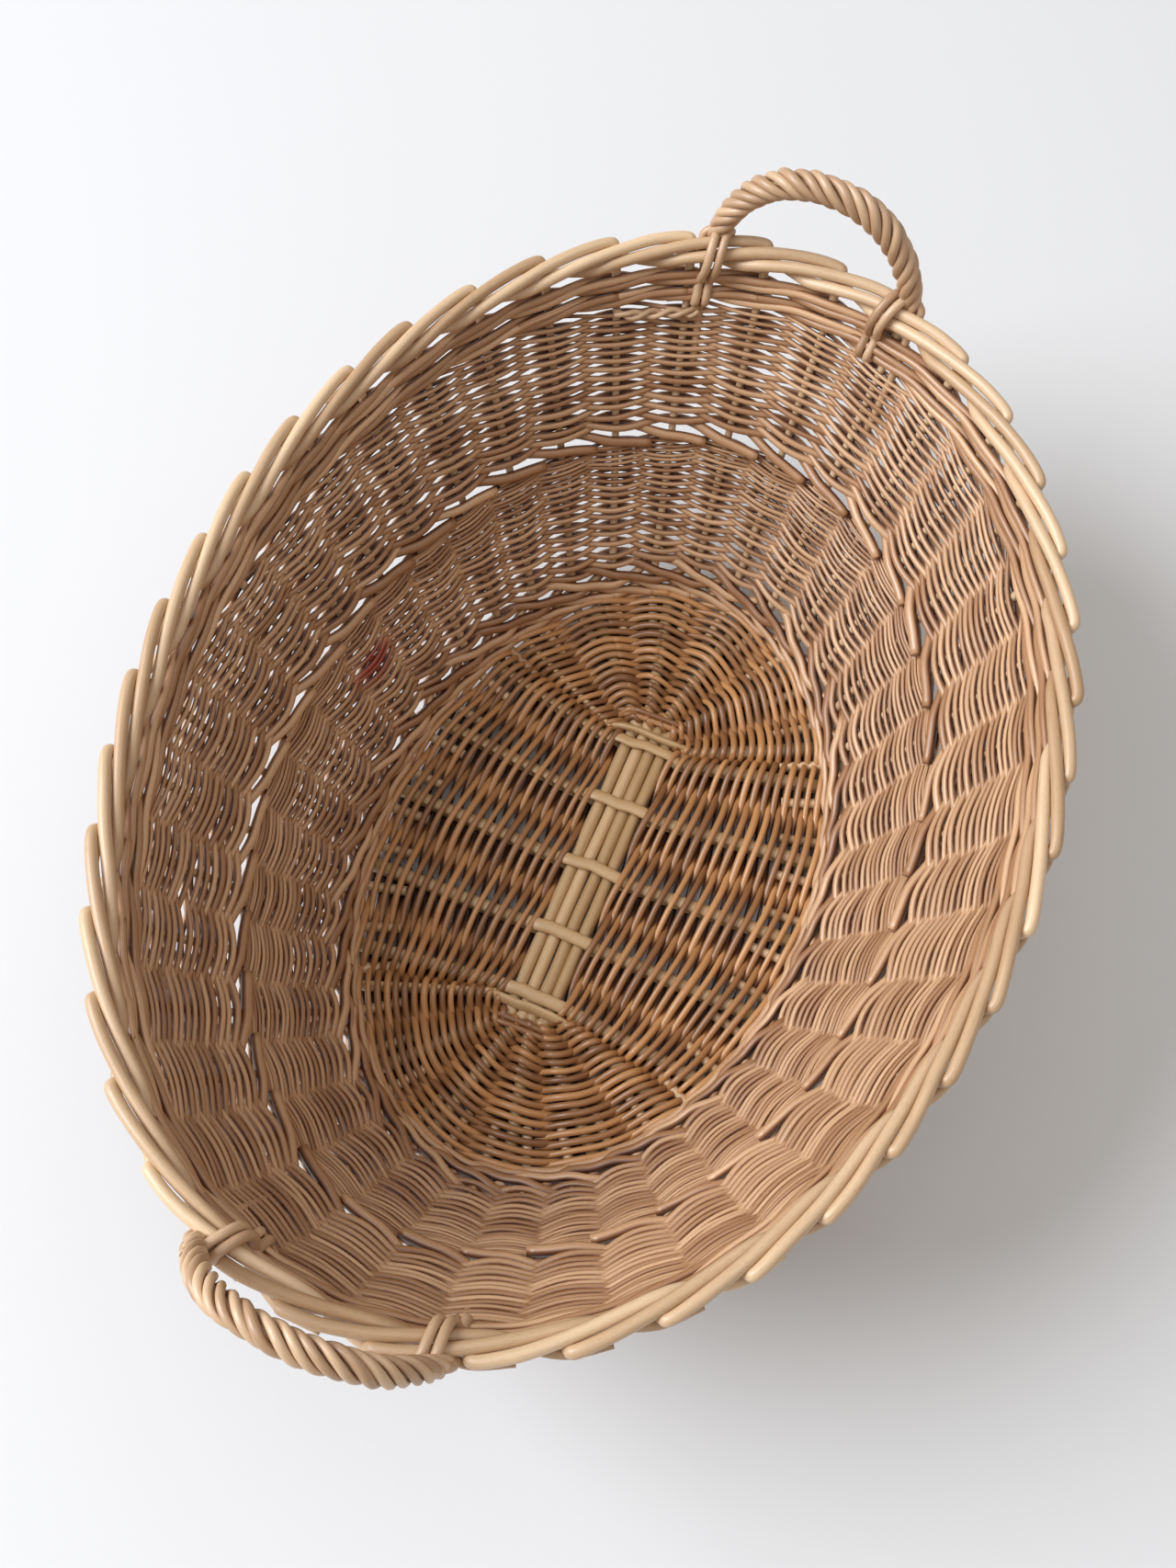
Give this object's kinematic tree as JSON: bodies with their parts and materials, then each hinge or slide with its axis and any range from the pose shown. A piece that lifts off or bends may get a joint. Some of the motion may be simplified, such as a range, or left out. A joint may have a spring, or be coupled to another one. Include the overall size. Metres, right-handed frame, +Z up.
{
  "type": "oval wicker basket",
  "caption": "Deep oval willow basket with flared woven sides, a rolled rod border and a roped bow handle at each end.",
  "frame": {"origin": "on the floor under the middle of the whole basket, handles included", "axes": "+X along the basket's length towards one handle, +Z up"},
  "size_m": [0.6768, 0.492, 0.2929],
  "materials": {
    "stake_willow": "satin, peeled willow rod",
    "base_stick_willow": "satin, peeled willow rod",
    "base_weave_willow": "satin, peeled willow rod",
    "bottom_wale_willow": "satin, peeled willow rod",
    "lower_siding_willow": "satin, peeled willow rod",
    "upper_siding_willow": "satin, peeled willow rod",
    "top_wale_willow": "satin, peeled willow rod",
    "handle_bow_willow": "satin, peeled willow rod",
    "handle_rope_willow": "satin, peeled willow rod"
  },
  "bodies": {
    "root": {"stake_01": "stake_willow", "stake_02": "stake_willow", "stake_03": "stake_willow", "stake_04": "stake_willow", "stake_05": "stake_willow", "stake_06": "stake_willow", "stake_07": "stake_willow", "stake_08": "stake_willow", "stake_09": "stake_willow", "stake_10": "stake_willow", "stake_11": "stake_willow", "stake_12": "stake_willow", "stake_13": "stake_willow", "stake_14": "stake_willow", "stake_15": "stake_willow", "stake_16": "stake_willow", "stake_17": "stake_willow", "stake_18": "stake_willow", "stake_19": "stake_willow", "stake_20": "stake_willow", "stake_21": "stake_willow", "stake_22": "stake_willow", "stake_23": "stake_willow", "stake_24": "stake_willow", "stake_25": "stake_willow", "stake_26": "stake_willow", "stake_27": "stake_willow", "stake_28": "stake_willow", "stake_29": "stake_willow", "stake_30": "stake_willow", "stake_31": "stake_willow", "stake_32": "stake_willow", "stake_33": "stake_willow", "stake_34": "stake_willow", "stake_35": "stake_willow", "stake_36": "stake_willow", "stake_37": "stake_willow", "stake_38": "stake_willow", "stake_39": "stake_willow", "stake_40": "stake_willow", "base_stick_long_1": "base_stick_willow", "base_stick_long_2": "base_stick_willow", "base_stick_long_3": "base_stick_willow", "base_stick_long_4": "base_stick_willow", "base_stick_cross_1": "base_stick_willow", "base_stick_cross_2": "base_stick_willow", "base_stick_cross_3": "base_stick_willow", "base_stick_cross_4": "base_stick_willow", "base_stick_cross_5": "base_stick_willow", "base_stick_cross_6": "base_stick_willow", "base_stick_cross_7": "base_stick_willow", "base_weave": "base_weave_willow", "bottom_wale": "bottom_wale_willow", "lower_siding": "lower_siding_willow", "upper_siding": "upper_siding_willow", "top_wale": "top_wale_willow", "handle_bow_1": "handle_bow_willow", "handle_bow_2": "handle_bow_willow", "handle_rope_1": "handle_rope_willow", "handle_rope_2": "handle_rope_willow"}
  },
  "joints": []
}
